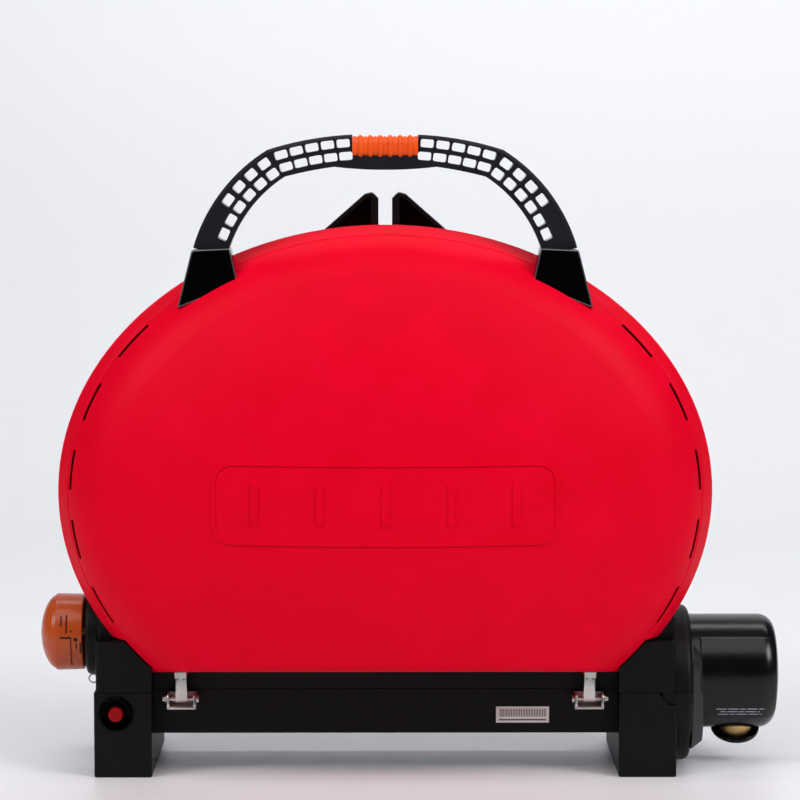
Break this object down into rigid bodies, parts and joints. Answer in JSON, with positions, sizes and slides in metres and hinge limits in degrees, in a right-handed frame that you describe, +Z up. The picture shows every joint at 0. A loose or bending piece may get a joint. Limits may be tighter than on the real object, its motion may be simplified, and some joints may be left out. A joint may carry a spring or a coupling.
{
  "type": "portable tabletop gas grill",
  "caption": "Portable tabletop gas grill stood upright to carry: oval hinged lid and pan, arched carry handle, footed base, control knob, igniter, folded front legs and side gas regulator.",
  "frame": {"origin": "bottom centre of the bounding box, on the table under the standing grill", "axes": "+Z up as it stands for carrying, -Y the way the lid faces, +X toward the gas regulator"},
  "size_m": [0.5902, 0.227, 0.5062],
  "materials": {
    "red_coat": "die casting under a satin red heat-resistant coat",
    "black_plastic": "fine moulded texture",
    "gloss_black": "polished moulding",
    "orange_grip": "ribbed soft grip",
    "orange_knob": "satin moulding",
    "red_button": "gloss",
    "iron": "enamelled",
    "zinc": "zinc plated",
    "burner_steel": "stainless",
    "brass": "turned",
    "ceramic": "glazed",
    "lead_rubber": "silicone sleeve",
    "label": "printed film"
  },
  "bodies": {
    "base": {"pan_shell": "red_coat", "grate_left": "iron", "grate_right": "iron", "burner_tube": "burner_steel", "burner_venturi": "burner_steel", "burner_brackets": "burner_steel", "igniter_electrode": "ceramic", "electrode_tip": "burner_steel", "ignition_lead": "lead_rubber", "base_upper_housing": "black_plastic", "base_lower_housing": "black_plastic", "housing_screws": "zinc", "label_plate": "label", "hinge_bracket_left": "zinc", "hinge_bracket_right": "zinc", "hinge_pin_left": "zinc", "hinge_pin_right": "zinc", "hinge_clip_left": "zinc", "hinge_clip_right": "zinc", "hinge_bracket_screws": "zinc", "control_bezel": "black_plastic", "valve_body": "brass", "retaining_loop": "zinc", "igniter_body": "black_plastic", "igniter_bezel": "gloss_black", "gas_tube": "burner_steel", "mount_collar": "black_plastic", "regulator_housing": "black_plastic", "regulator_cover": "black_plastic", "regulator_body": "zinc", "regulator_inlet": "brass", "inlet_collar": "gloss_black", "leg_bracket_left": "zinc", "leg_bracket_right": "zinc", "leg_pivot_left": "zinc", "leg_pivot_right": "zinc"},
    "lid": {"lid_shell": "red_coat", "handle_frame": "black_plastic", "handle_grip": "orange_grip", "handle_socket_left": "gloss_black", "handle_socket_right": "gloss_black", "lid_hinge_leaf_left": "zinc", "lid_hinge_leaf_right": "zinc", "lid_hinge_rivets": "zinc"},
    "control_core": {"valve_stem": "brass"},
    "control_cap": {"control_knob": "orange_knob"},
    "igniter_cap": {"igniter_button": "red_button"},
    "front_leg_left": {"leg_left": "black_plastic"},
    "front_leg_right": {"leg_right": "black_plastic"}
  },
  "joints": [
    {"name": "lid_hinge", "type": "hinge", "parent": "base", "child": "lid", "pos_m": [-0.02035, -0.02851, 0.0615], "axis": [1, 0, 0], "range_deg": [0, 80]},
    {"name": "control_turn", "type": "hinge", "parent": "base", "child": "control_core", "pos_m": [-0.26035, 0.01149, 0.109], "axis": [-1, 0, 0], "range_deg": [0, 170]},
    {"name": "control_push", "type": "slide", "parent": "control_core", "child": "control_cap", "axis": [1, 0, 0], "range_m": [0, 0.002], "stiffness_N_per_m": 1500, "springref_m": -0.003},
    {"name": "igniter_push", "type": "slide", "parent": "base", "child": "igniter_cap", "axis": [0, 1, 0], "range_m": [0, 0.004], "stiffness_N_per_m": 700, "springref_m": -0.003},
    {"name": "leg_left_fold", "type": "hinge", "parent": "base", "child": "front_leg_left", "pos_m": [-0.08635, 0.05649, 0.384], "axis": [0, 0, 1], "range_deg": [0, 90]},
    {"name": "leg_right_fold", "type": "hinge", "parent": "base", "child": "front_leg_right", "pos_m": [0.04565, 0.05649, 0.384], "axis": [0, 0, -1], "range_deg": [0, 90]}
  ]
}
